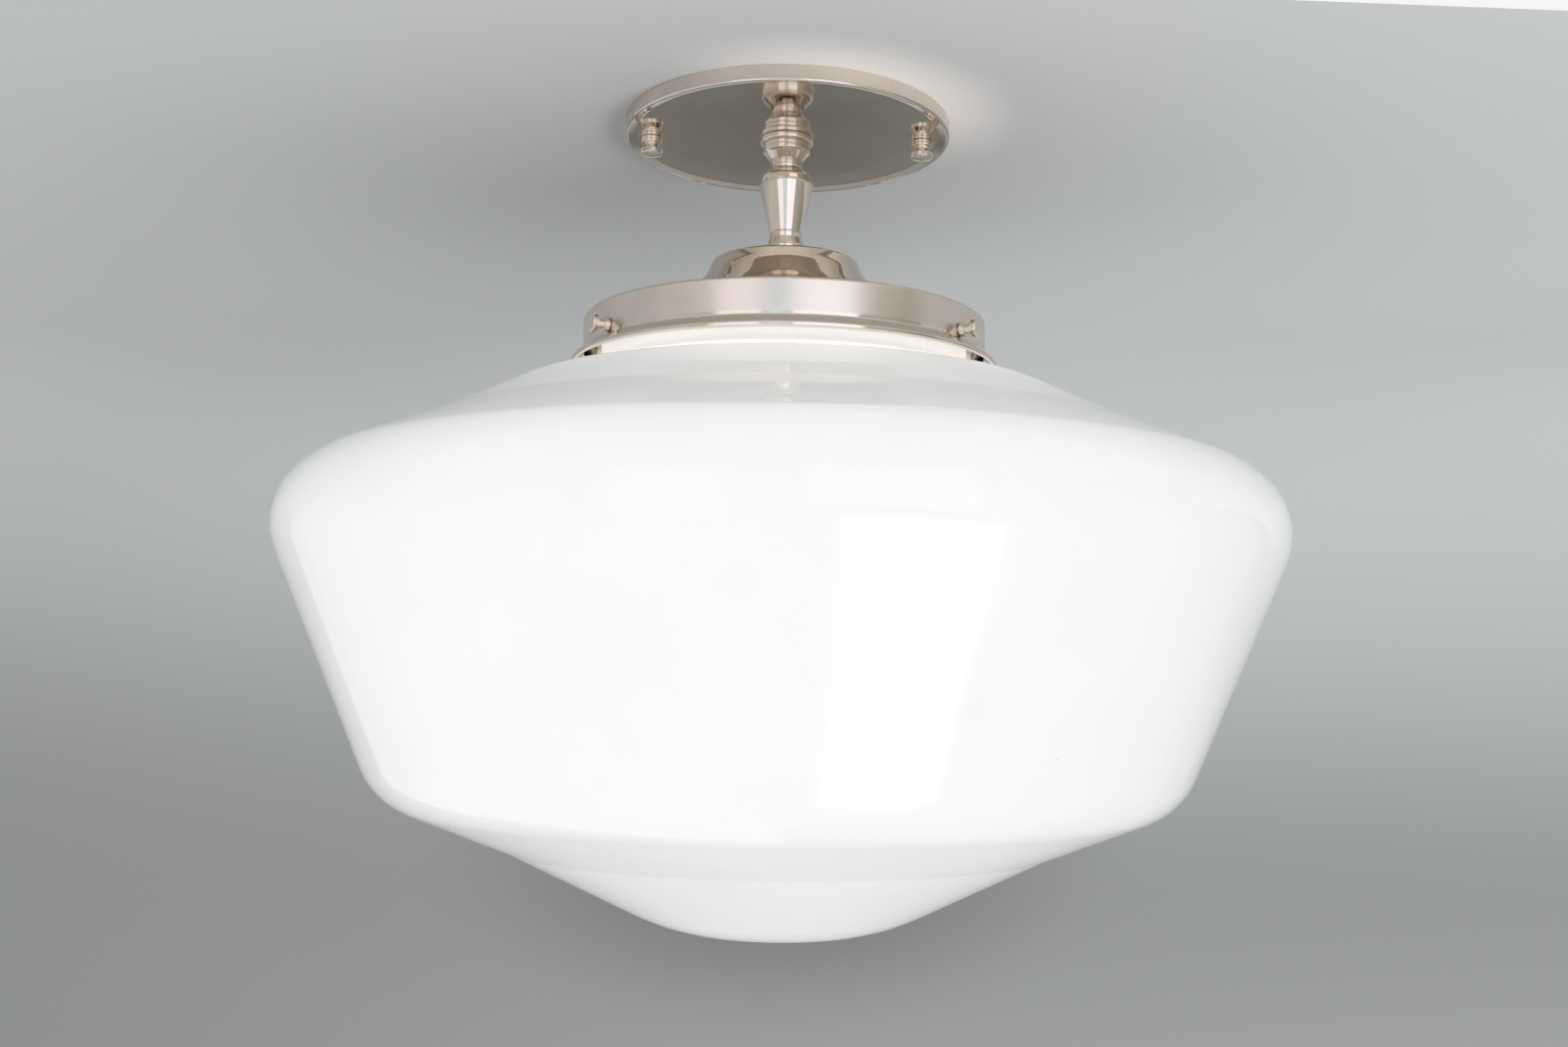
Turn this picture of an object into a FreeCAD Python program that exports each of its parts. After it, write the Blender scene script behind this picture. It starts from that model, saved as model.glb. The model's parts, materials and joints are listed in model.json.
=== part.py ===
import FreeCAD, Part
import math
import os
import re
import Sketcher

# Semi flush ceiling light, in millimetres. Level zero is the top face of the crossbar, which seats on the
# outlet box, and the Z axis is the axis of the stem. The ceiling's surface lies a little below level zero.

SIZES = {
    # Clearances between pieces
    "slip": 0.1,
    "seat_gap": 0.3,
    # Outlet box and crossbar
    "box_setback": 6.0,
    "crossbar_thickness": 2.0,
    "crossbar_width": 19.0,
    "crossbar_eye": 6.5,
    "box_screw_spacing": 88.9,
    "box_slot_travel": 4.0,
    "box_slot_width": 6.6,
    "box_screw_radius": 2.05,
    "box_screw_head_radius": 4.2,
    "box_screw_head": 2.4,
    "box_screw_reach": 10.0,
    "stud_spacing": 106.0,
    "stud_margin": 6.5,
    "stud_radius": 2.05,
    "thread_shortfall": 0.3,
    "stud_engagement": 5.4,
    "lock_nut_flats": 8.7,
    "lock_nut_height": 3.2,
    "ground_screw_offset": 24.0,
    "ground_screw_radius": 2.4,
    "ground_screw_head_radius": 4.3,
    "ground_screw_head": 3.0,
    # Canopy, a spun pan with a dished underside and a rolled bead
    "canopy_margin": 10.5,
    "canopy_depth": 6.0,
    "canopy_plate": 1.0,
    "canopy_dish": 1.3,
    "canopy_seat_radius": 12.0,
    "canopy_ring_rise": 1.1,
    "nut_land_inside": 7.0,
    "nut_land_outside": 5.0,
    "canopy_bead": 1.8,
    "canopy_bead_round": 1.4,
    "canopy_sweep_round": 60.0,
    "canopy_edge_round": 1.5,
    "canopy_stud_clearance": 0.55,
    # Canopy nuts
    "nut_flange_radius": 4.2,
    "nut_flange": 2.3,
    "nut_neck_radius": 2.95,
    "nut_neck": 1.1,
    "nut_head_radius": 4.2,
    "nut_bevel": 1.2,
    "nut_rim": 2.1,
    "nut_point": 0.9,
    "nut_bore_floor": 1.4,
    "nut_edge_round": 0.4,
    # Threaded pipe and what clamps on it
    "pipe_radius": 4.85,
    "pipe_bore_radius": 3.2,
    "pipe_stand": 0.9,
    "pipe_nut_flats": 14.3,
    "pipe_nut_height": 3.2,
    "washer_radius": 8.0,
    "washer_thickness": 0.8,
    # Stem, from the canopy down
    "check_ring_radius": 10.3,
    "check_ring_height": 2.5,
    "check_ring_round": 0.6,
    "collar_radius": 9.1,
    "collar_band": 3.3,
    "collar_step_radius": 8.3,
    "collar_step": 0.7,
    "collar_cone_radius": 6.4,
    "collar_cone": 2.6,
    "neck_groove_radius": 5.9,
    "neck_groove": 0.6,
    "neck_ring_radius": 6.2,
    "neck_ring": 1.3,
    "neck_radius": 5.7,
    "neck_length": 1.6,
    "column_crown_radius": 6.5,
    "column_bevel_radius": 10.0,
    "column_bevel": 3.1,
    "column_bevel_round": 3.5,
    "column_swell_radius": 10.6,
    "column_swell": 3.2,
    "column_swell_round": 5.0,
    "column_waist_radius": 6.4,
    "column_taper": 19.0,
    "column_groove_radius": 6.2,
    "column_groove": 2.4,
    "column_foot_radius": 7.4,
    "column_flare": 3.0,
    "column_foot": 1.4,
    "foot_ring_radius": 8.0,
    "foot_ring_height": 3.0,
    "foot_ring_round": 0.5,
    # Dome cap, spun to a bell
    "dome_height": 27.1,
    "dome_wall": 1.0,
    "dome_crown_radius": 28.3,
    "dome_crown_drop": 2.6,
    "dome_crown_round": 1.6,
    "dome_waist_radius": 30.3,
    "dome_waist_drop": 7.2,
    "dome_waist_round": 18.0,
    "dome_flare_radius": 36.5,
    "dome_flare_drop": 17.1,
    "dome_flare_round": 30.0,
    "dome_foot_radius": 48.0,
    # Shade holder with its flared lip
    "holder_radius": 77.2,
    "holder_wall": 1.0,
    "holder_top_round": 1.5,
    "holder_skirt": 13.4,
    "holder_flare": 4.8,
    "holder_lip": 5.1,
    "holder_lip_round": 1.2,
    # Thumb screws and the bushings that they run in
    "thumb_drop": 10.5,
    "thumb_spread": 55.0,
    "thumb_radius": 2.05,
    "thumb_point": 0.5,
    "thumb_flange_radius": 2.75,
    "thumb_flange": 1.9,
    "thumb_neck_radius": 1.75,
    "thumb_neck": 2.8,
    "thumb_head_radius": 3.5,
    "thumb_head": 2.2,
    "thumb_head_round": 0.4,
    "bushing_radius": 3.6,
    "bushing_flange": 1.5,
    "bushing_spigot_radius": 2.65,
    # Glass shade, blown: radii and drops below the foot of the neck
    "glass_wall": 3.0,
    "glass_headroom": 0.8,
    "glass_lip_clearance": 4.2,
    "glass_lip": 6.3,
    "glass_lip_round": 1.0,
    "glass_lip_flare": 2.0,
    "glass_neck": 12.4,
    "glass_neck_round": 4.0,
    "glass_collar_radius": 100.8,
    "glass_collar_drop": 7.7,
    "glass_collar_round": 50.0,
    "glass_ridge_radius": 133.4,
    "glass_ridge_drop": 24.1,
    "glass_ridge_round": 50.0,
    "glass_shoulder_radius": 172.9,
    "glass_shoulder_drop": 40.3,
    "glass_shoulder_round": 20.0,
    "glass_belly_radius": 190.7,
    "glass_belly_drop": 56.0,
    "glass_belly_round": 25.6,
    "glass_ledge_radius": 147.9,
    "glass_ledge_drop": 158.9,
    "glass_ledge_round": 27.5,
    "glass_bowl_radius": 102.3,
    "glass_bowl_drop": 177.3,
    "glass_bowl_round": 40.0,
    "glass_base_radius": 38.8,
    "glass_base_drop": 208.8,
    "glass_base_round": 80.0,
    # Lamp socket
    "socket_gap": 2.5,
    "hub_radius": 7.5,
    "hub_height": 6.0,
    "hub_grip": 7.0,
    "cap_radius": 20.5,
    "cap_wall": 0.8,
    "cap_shoulder": 4.0,
    "cap_skirt": 11.0,
    "cap_round": 2.0,
    "terminal_space": 4.2,
    "terminal_spread": 22.0,
    "terminal_radius": 1.95,
    "terminal_depth": 6.0,
    "terminal_head_radius": 3.2,
    "terminal_head": 2.0,
    "porcelain_length": 35.0,
    "porcelain_round": 2.0,
    "cavity_radius": 14.0,
    "cavity_depth": 31.0,
    "shell_wall": 0.45,
    "shell_margin": 2.0,
    "shell_eye": 7.0,
    "contact_radius": 4.5,
    "contact_height": 1.5,
    "contact_round": 0.6,
    # Bulb
    "bulb_length": 108.0,
    "bulb_radius": 30.0,
    "bulb_wall": 0.8,
    "bulb_tip_radius": 4.8,
    "bulb_tip": 1.3,
    "bulb_insulator_radius": 9.6,
    "bulb_insulator": 3.2,
    "bulb_cap_radius": 13.1,
    "bulb_cap_length": 23.5,
    "bulb_cap_wall": 0.4,
    "bulb_neck_grip": 12.0,
    "bulb_neck": 5.0,
    "bulb_neck_round": 25.0,
    "bulb_cone": 34.0,
    "bulb_cone_round": 30.0,
    "bulb_end_round": 29.9,
}

# Levels and fits that follow from the sizes, each written with the names above it
DERIVED = {
    "pipe_hole": "pipe_radius + slip",
    "crossbar_length": "stud_spacing + 2 * stud_margin",
    "ceiling": "-box_setback",
    "canopy_radius": "stud_spacing / 2 + canopy_margin",
    "canopy_ring_inner": "stud_spacing / 2 - nut_land_inside",
    "canopy_ring_outer": "stud_spacing / 2 + nut_land_outside",
    "canopy_bead_inner": "canopy_radius - canopy_bead",
    "canopy_foot": "ceiling - canopy_depth",
    "canopy_seat": "canopy_foot + canopy_dish",
    "canopy_top": "canopy_seat + canopy_plate",
    "nut_seat": "canopy_foot + canopy_ring_rise",
    "nut_bore": "stud_radius + slip / 2",
    "nut_end": "nut_seat - nut_flange - nut_neck - nut_bevel - nut_rim - nut_point",
    "collar_top": "canopy_seat - check_ring_height",
    "column_top": "collar_top - collar_band - collar_step - collar_cone - neck_groove - neck_ring"
                  " - neck_length",
    "column_bevel_foot": "column_top - column_bevel",
    "column_swell_foot": "column_bevel_foot - column_swell",
    "column_taper_foot": "column_swell_foot - column_taper",
    "column_groove_foot": "column_taper_foot - column_groove",
    "column_flare_foot": "column_groove_foot - column_flare",
    "column_end": "column_flare_foot - column_foot",
    "dome_top": "column_end - foot_ring_height",
    "holder_top": "dome_top - dome_height",
    "holder_ceiling": "holder_top - holder_wall",
    "holder_skirt_foot": "holder_top - holder_skirt",
    "holder_end": "holder_skirt_foot - holder_lip",
    "holder_lip_radius": "holder_radius + holder_flare",
    "thumb_level": "holder_top - thumb_drop",
    "thumb_reach": "holder_radius - glass_neck_radius",
    "bushing_bore": "thumb_radius + slip",
    "glass_lip_radius": "holder_radius - holder_wall - glass_lip_clearance",
    "glass_neck_radius": "glass_lip_radius - glass_lip_flare",
    "glass_mouth": "holder_ceiling - glass_headroom",
    "glass_lip_foot": "glass_mouth - glass_lip",
    "glass_foot": "glass_lip_foot - glass_neck",
    "bottom_washer_top": "holder_ceiling",
    "bottom_nut_top": "bottom_washer_top - washer_thickness",
    "hub_top": "bottom_nut_top - pipe_nut_height - socket_gap",
    "hub_foot": "hub_top - hub_height",
    "cap_level": "hub_foot - cap_shoulder",
    "cap_end": "cap_level - cap_skirt",
    "pipe_top": "canopy_top + washer_thickness + pipe_nut_height + pipe_stand",
    "pipe_end": "hub_top - hub_grip",
    "porcelain_top": "cap_level - cap_wall - terminal_space",
    "porcelain_end": "cap_end - porcelain_length",
    "cavity_top": "porcelain_end + cavity_depth",
    "shell_radius": "cavity_radius - slip",
    "bulb_top": "cavity_top - contact_height - seat_gap",
    "bulb_insulator_top": "bulb_top - bulb_tip",
    "bulb_cap_top": "bulb_insulator_top - bulb_insulator",
    "bulb_cap_end": "bulb_cap_top - bulb_cap_length",
    "bulb_neck_radius": "bulb_cap_radius - bulb_cap_wall - slip * 2",
    "bulb_end": "bulb_top - bulb_length",
}

NAME = re.compile(r"[a-z_][a-z0-9_]*")
ALONG_Z = FreeCAD.Vector(0, 0, 1)
TOUCHING = 1e-6
ROOM = 0.98

document = FreeCAD.newDocument("semi_flush_ceiling_light")
sheet = document.addObject("Spreadsheet::Sheet", "sizes")


def fill_sheet():
    """Put the driving dimensions in the sheet, one named cell each."""
    for row, (name, size) in enumerate(SIZES.items(), start=1):
        sheet.set(f"A{row}", name)
        sheet.set(f"B{row}", str(size))
        sheet.setAlias(f"B{row}", name)
    document.recompute()


def bound(text):
    """Write an expression with the sheet's cells in place of the names of sizes."""
    def cell(match):
        word = match.group()
        if word in SIZES:
            return f"sizes.{word}"
        if word in DERIVED:
            return f"({bound(DERIVED[word])})"
        return word
    return NAME.sub(cell, text)


def value(text):
    """Number that an expression gives now."""
    return float(sheet.evalExpression(bound(text)))


def hold(sketch, kind, *where, size):
    """Constraint whose size follows an expression."""
    number = sketch.addConstraint(Sketcher.Constraint(kind, *where, value(size)))
    sketch.setExpression(f"Constraints[{number}]", bound(size))


def pin_down(sketch, curve, point, across, up):
    """Hold a point of a curve at its place from the sketch's origin."""
    hold(sketch, "DistanceX", -1, 1, curve, point, size=across)
    hold(sketch, "DistanceY", -1, 1, curve, point, size=up)


def new_sketch(body, name, role, turn=0.0):
    """Sketch on one of the body's own planes, turned about the plane's upright axis."""
    plane = next(feature for feature in body.Origin.OriginFeatures if feature.Role == role)
    sketch = body.newObject("Sketcher::SketchObject", name)
    sketch.AttachmentSupport = (plane, [""])
    sketch.MapMode = "FlatFace"
    upright = FreeCAD.Rotation(FreeCAD.Vector(0, 1, 0), turn)
    sketch.AttachmentOffset = FreeCAD.Placement(FreeCAD.Vector(), upright)
    return sketch


class Corner:
    """Corner of an outline, with the radius that rounds it."""

    def __init__(self, across, up, radius="0"):
        self.across = across
        self.up = up
        self.radius = radius
        self.point = FreeCAD.Vector(value(across), value(up), 0)
        self.round = value(radius)

    def meet(self, before, after):
        """Learn the directions of the two runs that meet here and how much of each the rounding takes."""
        self.inward = (before.point - self.point).normalize()
        self.outward = (after.point - self.point).normalize()
        self.half = self.inward.getAngle(self.outward) / 2
        self.taken = self.round / math.tan(self.half)

    def shrink(self, share):
        """Limit the rounding to what the runs have room for."""
        self.round *= share
        self.taken *= share
        self.radius = f"({self.radius}) * {share:.6f}"

    def start(self):
        return self.point + self.inward * self.taken

    def end(self):
        return self.point + self.outward * self.taken

    def arc(self):
        """Arc that rounds the corner, and whether it runs against the outline."""
        middle = (self.inward + self.outward).normalize()
        centre = self.point + middle * (self.round / math.sin(self.half))
        first, last = (math.atan2(*(spot - centre)[1::-1]) for spot in (self.start(), self.end()))
        against = (last - first) % (2 * math.pi) > math.pi
        if against:
            first, last = last, first
        return Part.ArcOfCircle(Part.Circle(centre, ALONG_Z, self.round), first, last), against


def outline(sketch, corners):
    """Closed outline through corners given as (across, up) or (across, up, rounding radius)."""
    corners = [Corner(*corner) for corner in corners]
    pairs = list(zip(corners, corners[1:] + corners[:1]))
    for before, corner, after in zip(corners[-1:] + corners[:-1], corners, corners[1:] + corners[:1]):
        corner.meet(before, after)
    for first, last in pairs:
        run = (last.point - first.point).Length * ROOM
        if first.taken + last.taken > run:
            share = run / (first.taken + last.taken)
            first.shrink(share)
            last.shrink(share)
    lines = [sketch.addGeometry(Part.LineSegment(first.end(), last.start())) for first, last in pairs]
    for index, corner in enumerate(corners):
        before, after = lines[index - 1], lines[index]
        if corner.round:
            arc, against = corner.arc()
            curve = sketch.addGeometry(arc)
            entry, leave = (2, 1) if against else (1, 2)
            sketch.addConstraint(Sketcher.Constraint("Tangent", before, 2, curve, entry))
            sketch.addConstraint(Sketcher.Constraint("Tangent", curve, leave, after, 1))
            hold(sketch, "Radius", curve, size=corner.radius)
            mark = sketch.addGeometry(Part.Point(corner.point), True)
            sketch.addConstraint(Sketcher.Constraint("PointOnObject", mark, 1, before))
            sketch.addConstraint(Sketcher.Constraint("PointOnObject", mark, 1, after))
            pin_down(sketch, mark, 1, corner.across, corner.up)
        else:
            sketch.addConstraint(Sketcher.Constraint("Coincident", before, 2, after, 1))
            pin_down(sketch, after, 1, corner.across, corner.up)


def circle(sketch, across, up, radius):
    """Circle held by its centre and its radius."""
    centre = FreeCAD.Vector(value(across), value(up), 0)
    curve = sketch.addGeometry(Part.Circle(centre, ALONG_Z, value(radius)))
    hold(sketch, "Radius", curve, size=radius)
    pin_down(sketch, curve, 3, across, up)


def obround(sketch, across, half_run, radius):
    """Slot along X with round ends, its middle at a distance across."""
    ends = [f"({across}) {sign} ({half_run})" for sign in "-+"]
    centres = [FreeCAD.Vector(value(end), 0, 0) for end in ends]
    reach = FreeCAD.Vector(0, value(radius), 0)
    quarter = math.pi / 2
    left = sketch.addGeometry(
        Part.ArcOfCircle(Part.Circle(centres[0], ALONG_Z, reach.y), quarter, 3 * quarter))
    right = sketch.addGeometry(
        Part.ArcOfCircle(Part.Circle(centres[1], ALONG_Z, reach.y), -quarter, quarter))
    lower = sketch.addGeometry(Part.LineSegment(centres[0] - reach, centres[1] - reach))
    upper = sketch.addGeometry(Part.LineSegment(centres[1] + reach, centres[0] + reach))
    for first, leave, last, entry in ((left, 2, lower, 1), (lower, 2, right, 1),
                                      (right, 2, upper, 1), (upper, 2, left, 1)):
        sketch.addConstraint(Sketcher.Constraint("Tangent", first, leave, last, entry))
    hold(sketch, "Radius", left, size=radius)
    pin_down(sketch, left, 3, ends[0], "0")
    hold(sketch, "DistanceX", -1, 1, right, 3, size=ends[1])


def turned(name, corners):
    """Body turned about the Z axis from one outline of radius and level."""
    body = document.addObject("PartDesign::Body", name)
    sketch = new_sketch(body, f"{name}_profile", "XZ_Plane")
    outline(sketch, corners)
    spin = body.newObject("PartDesign::Revolution", f"{name}_turned")
    spin.Profile = sketch
    spin.ReferenceAxis = (sketch, ["V_Axis"])
    spin.Angle = 360
    document.recompute()
    return body


def hollowed(body, wall, level):
    """Shell the body inwards, open at the flat face on a level."""
    solid = body.Tip
    height = value(level)
    mouth = [f"Face{number}" for number, face in enumerate(solid.Shape.Faces, start=1)
             if face.Surface.TypeId == "Part::GeomPlane" and abs(face.CenterOfMass.z - height) < TOUCHING]
    shell = body.newObject("PartDesign::Thickness", f"{body.Name}_shell")
    shell.Base = (solid, mouth)
    shell.setExpression("Value", bound(wall))
    shell.Reversed = True
    document.recompute()
    return body


def rounded(body, radius, near):
    """Round the circular edges that an edge test picks."""
    solid = body.Tip
    edges = [f"Edge{number}" for number, edge in enumerate(solid.Shape.Edges, start=1) if near(edge)]
    blend = body.newObject("PartDesign::Fillet", f"{body.Name}_round")
    blend.Base = (solid, edges)
    blend.setExpression("Radius", bound(radius))
    document.recompute()
    return body


def cut_away(body, sketch, both_ways):
    """Pocket through all from a sketch, which must take material away."""
    whole = body.Shape.Volume
    pocket = body.newObject("PartDesign::Pocket", f"{sketch.Name}_cut")
    pocket.Profile = sketch
    pocket.Type = "ThroughAll"
    if both_ways:
        pocket.SideType = "Symmetric"
    document.recompute()
    if body.Shape.Volume >= whole:
        raise RuntimeError(f"{sketch.Name} cuts nothing")


def drilled(body, name, spots, radius):
    """Holes along Z through the whole body, at spots along X."""
    sketch = new_sketch(body, f"{body.Name}_{name}", "XY_Plane")
    for spot in spots:
        circle(sketch, spot, "0", radius)
    cut_away(body, sketch, both_ways=True)
    return body


def drilled_sideways(body, name, bearing, level, radius):
    """Hole through one wall, from the Z axis outwards along a bearing."""
    sketch = new_sketch(body, f"{body.Name}_{name}", "XZ_Plane", bearing)
    circle(sketch, "0", level, radius)
    cut_away(body, sketch, both_ways=False)
    return body


def padded(name, draw, top, height):
    """Flat body whose sketch is drawn by a function, with its top face on a level."""
    body = document.addObject("PartDesign::Body", name)
    sketch = new_sketch(body, f"{name}_outline", "XY_Plane")
    draw(sketch)
    pad = body.newObject("PartDesign::Pad", f"{name}_pad")
    pad.Profile = sketch
    pad.setExpression("Length", bound(height))
    pad.Reversed = True
    body.setExpression("Placement.Base.z", bound(top))
    document.recompute()
    return body


def hexagon(sketch, flats):
    """Hexagon with two of its flats across the X axis."""
    wide = f"{flats} / 2"
    low = f"{flats} / 2 * tan(30)"
    high = f"{flats} / 2 / cos(30)"
    outline(sketch, [(wide, f"-{low}"), (wide, low), ("0", high),
                     (f"-{wide}", low), (f"-{wide}", f"-{low}"), ("0", f"-{high}")])


def hex_nut(name, flats, hole, top, height):
    def draw(sketch):
        hexagon(sketch, flats)
        circle(sketch, "0", "0", hole)
    return padded(name, draw, top, height)


def shifted(body, across):
    """Move a body along X."""
    body.setExpression("Placement.Base.x", bound(across))
    return body


def group(name, members):
    """Several like pieces that share one node."""
    node = document.addObject("Part::Compound", name)
    node.Links = members
    document.recompute()
    return node


def on_bearing(body, bearing, distance, level):
    """Lay a body that was turned about Z so that it points outwards along a bearing."""
    angle = math.radians(bearing)
    out = FreeCAD.Vector(-math.sin(angle), math.cos(angle), 0)
    spot = out * value(distance) + ALONG_Z * value(level)
    body.Placement = FreeCAD.Placement(spot, FreeCAD.Rotation(ALONG_Z, out))
    return body


def thumb_bearings():
    """Bearings of the thumb screws from the back of the light, against the clock seen from above."""
    spread = value("thumb_spread")
    return {"left": 180 - spread, "right": spread - 180, "back": 0.0}


def make_crossbar():
    def draw(sketch):
        obround(sketch, "0", "(crossbar_length - crossbar_width) / 2", "crossbar_width / 2")
        circle(sketch, "0", "0", "crossbar_eye")
        circle(sketch, "-ground_screw_offset", "0", "ground_screw_radius + slip / 2")
        for sign in "-+":
            slot = f"{sign} box_screw_spacing / 2"
            obround(sketch, slot, "box_slot_travel / 2", "box_slot_width / 2")
            circle(sketch, f"{sign} stud_spacing / 2", "0", "stud_radius + slip / 2")
    return padded("crossbar", draw, "0", "crossbar_thickness")


def make_box_screw(side, across):
    foot = "-crossbar_thickness"
    head = f"{foot} - box_screw_head"
    screw = turned(f"box_screw_{side}", [
        ("0", "box_screw_reach"),
        ("box_screw_radius", "box_screw_reach"),
        ("box_screw_radius", foot),
        ("box_screw_head_radius", foot),
        ("box_screw_head_radius", head, "box_screw_head / 2"),
        ("0", head)])
    return shifted(screw, across)


def make_stud(side, across):
    stud = turned(f"stud_{side}", [
        ("0", "-thread_shortfall"),
        ("stud_radius", "-thread_shortfall"),
        ("stud_radius", "nut_seat - stud_engagement"),
        ("0", "nut_seat - stud_engagement")])
    return shifted(stud, across)


def make_stud_lock_nuts():
    nuts = []
    for side, sign in (("left", "-"), ("right", "+")):
        nut = hex_nut(f"stud_lock_nut_{side}", "lock_nut_flats", "nut_bore", "-crossbar_thickness",
                      "lock_nut_height")
        nuts.append(shifted(nut, f"{sign} stud_spacing / 2"))
    return group("stud_lock_nuts", nuts)


def make_ground_screw():
    foot = "-crossbar_thickness"
    head = f"{foot} - ground_screw_head"
    screw = turned("ground_screw", [
        ("0", "-thread_shortfall"),
        ("ground_screw_radius", "-thread_shortfall"),
        ("ground_screw_radius", foot),
        ("ground_screw_head_radius", foot),
        ("ground_screw_head_radius", head, "ground_screw_head / 3"),
        ("0", head)])
    return shifted(screw, "-ground_screw_offset")


def make_canopy():
    canopy = turned("canopy", [
        ("0", "ceiling"),
        ("canopy_radius", "ceiling"),
        ("canopy_radius", "canopy_foot", "canopy_bead_round"),
        ("canopy_bead_inner", "canopy_foot"),
        ("canopy_ring_outer", "nut_seat", "canopy_edge_round"),
        ("canopy_ring_inner", "nut_seat", "canopy_sweep_round"),
        ("canopy_seat_radius", "canopy_seat", "canopy_sweep_round"),
        ("0", "canopy_seat")])
    hollowed(canopy, "canopy_plate", "ceiling")
    drilled(canopy, "pipe_hole", ["0"], "pipe_hole")
    stud_hole = "stud_radius + canopy_stud_clearance"
    drilled(canopy, "stud_holes", ["-stud_spacing / 2", "stud_spacing / 2"], stud_hole)
    return canopy


def make_canopy_nut(side, across):
    flange_foot = "nut_seat - nut_flange"
    neck_foot = f"{flange_foot} - nut_neck"
    bevel_foot = f"{neck_foot} - nut_bevel"
    nut = turned(f"canopy_nut_{side}", [
        ("nut_bore", "nut_seat"),
        ("nut_flange_radius", "nut_seat", "nut_edge_round"),
        ("nut_flange_radius", flange_foot, "nut_edge_round"),
        ("nut_neck_radius", flange_foot),
        ("nut_neck_radius", neck_foot),
        ("nut_head_radius", bevel_foot, "nut_edge_round"),
        ("nut_head_radius", f"{bevel_foot} - nut_rim", "nut_edge_round"),
        ("0", "nut_end"),
        ("0", "nut_end + nut_bore_floor"),
        ("nut_bore", "nut_end + nut_bore_floor")])
    return shifted(nut, across)


def make_stem_pipe():
    return turned("stem_pipe", [
        ("pipe_bore_radius", "pipe_top"),
        ("pipe_radius", "pipe_top"),
        ("pipe_radius", "pipe_end"),
        ("pipe_bore_radius", "pipe_end")])


def make_washer(name, top):
    foot = f"{top} - washer_thickness"
    return turned(name, [
        ("pipe_hole", top),
        ("washer_radius", top),
        ("washer_radius", foot),
        ("pipe_hole", foot)])


def make_pipe_nut(name, top):
    return hex_nut(name, "pipe_nut_flats", "pipe_hole", top, "pipe_nut_height")


def make_check_ring():
    return turned("check_ring", [
        ("pipe_hole", "canopy_seat"),
        ("check_ring_radius", "canopy_seat", "check_ring_round"),
        ("check_ring_radius", "collar_top", "check_ring_round"),
        ("pipe_hole", "collar_top")])


def make_neck_collar():
    step = "collar_top - collar_band"
    cone = f"{step} - collar_step"
    groove = f"{cone} - collar_cone"
    ring = f"{groove} - neck_groove"
    neck = f"{ring} - neck_ring"
    return turned("neck_collar", [
        ("pipe_hole", "collar_top"),
        ("collar_radius", "collar_top", "collar_step / 2"),
        ("collar_radius", step, "collar_step / 2"),
        ("collar_step_radius", cone),
        ("collar_cone_radius", groove),
        ("neck_groove_radius", groove),
        ("neck_groove_radius", ring),
        ("neck_ring_radius", ring),
        ("neck_ring_radius", neck),
        ("neck_radius", neck),
        ("neck_radius", "column_top"),
        ("pipe_hole", "column_top")])


def make_column():
    return turned("column", [
        ("pipe_hole", "column_top"),
        ("column_crown_radius", "column_top"),
        ("column_bevel_radius", "column_bevel_foot", "column_bevel_round"),
        ("column_swell_radius", "column_swell_foot", "column_swell_round"),
        ("column_waist_radius", "column_taper_foot"),
        ("column_groove_radius", "column_taper_foot - column_groove / 8"),
        ("column_groove_radius", "column_groove_foot"),
        ("column_foot_radius", "column_flare_foot", "column_flare"),
        ("column_foot_radius", "column_end"),
        ("pipe_hole", "column_end")])


def make_foot_ring():
    return turned("foot_ring", [
        ("pipe_hole", "column_end"),
        ("foot_ring_radius", "column_end", "foot_ring_round"),
        ("foot_ring_radius", "dome_top", "foot_ring_round"),
        ("pipe_hole", "dome_top")])


def make_dome_cap():
    dome = turned("dome_cap", [
        ("0", "dome_top"),
        ("foot_ring_radius", "dome_top"),
        ("dome_crown_radius", "dome_top - dome_crown_drop", "dome_crown_round"),
        ("dome_waist_radius", "dome_top - dome_waist_drop", "dome_waist_round"),
        ("dome_flare_radius", "dome_top - dome_flare_drop", "dome_flare_round"),
        ("dome_foot_radius", "holder_top"),
        ("0", "holder_top")])
    hollowed(dome, "dome_wall", "holder_top")
    return drilled(dome, "pipe_hole", ["0"], "pipe_hole")


def make_shade_holder():
    holder = turned("shade_holder", [
        ("0", "holder_top"),
        ("holder_radius", "holder_top", "holder_top_round"),
        ("holder_radius", "holder_skirt_foot", "holder_lip_round"),
        ("holder_lip_radius", "holder_end"),
        ("0", "holder_end")])
    hollowed(holder, "holder_wall", "holder_end")
    drilled(holder, "pipe_hole", ["0"], "pipe_hole")
    for side, bearing in thumb_bearings().items():
        spigot_hole = "bushing_spigot_radius + slip / 2"
        drilled_sideways(holder, f"thumb_hole_{side}", bearing, "thumb_level", spigot_hole)
    return holder


def make_screw_bushings():
    bushings = []
    for side, bearing in thumb_bearings().items():
        bushing = turned(f"screw_bushing_{side}", [
            ("bushing_bore", "0"),
            ("bushing_spigot_radius", "0"),
            ("bushing_spigot_radius", "slip - holder_wall"),
            ("bushing_radius", "slip - holder_wall"),
            ("bushing_radius", "slip - holder_wall - bushing_flange"),
            ("bushing_bore", "slip - holder_wall - bushing_flange")])
        bushings.append(on_bearing(bushing, bearing, "holder_radius - slip * 2", "thumb_level"))
    return group("screw_bushings", bushings)


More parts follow.
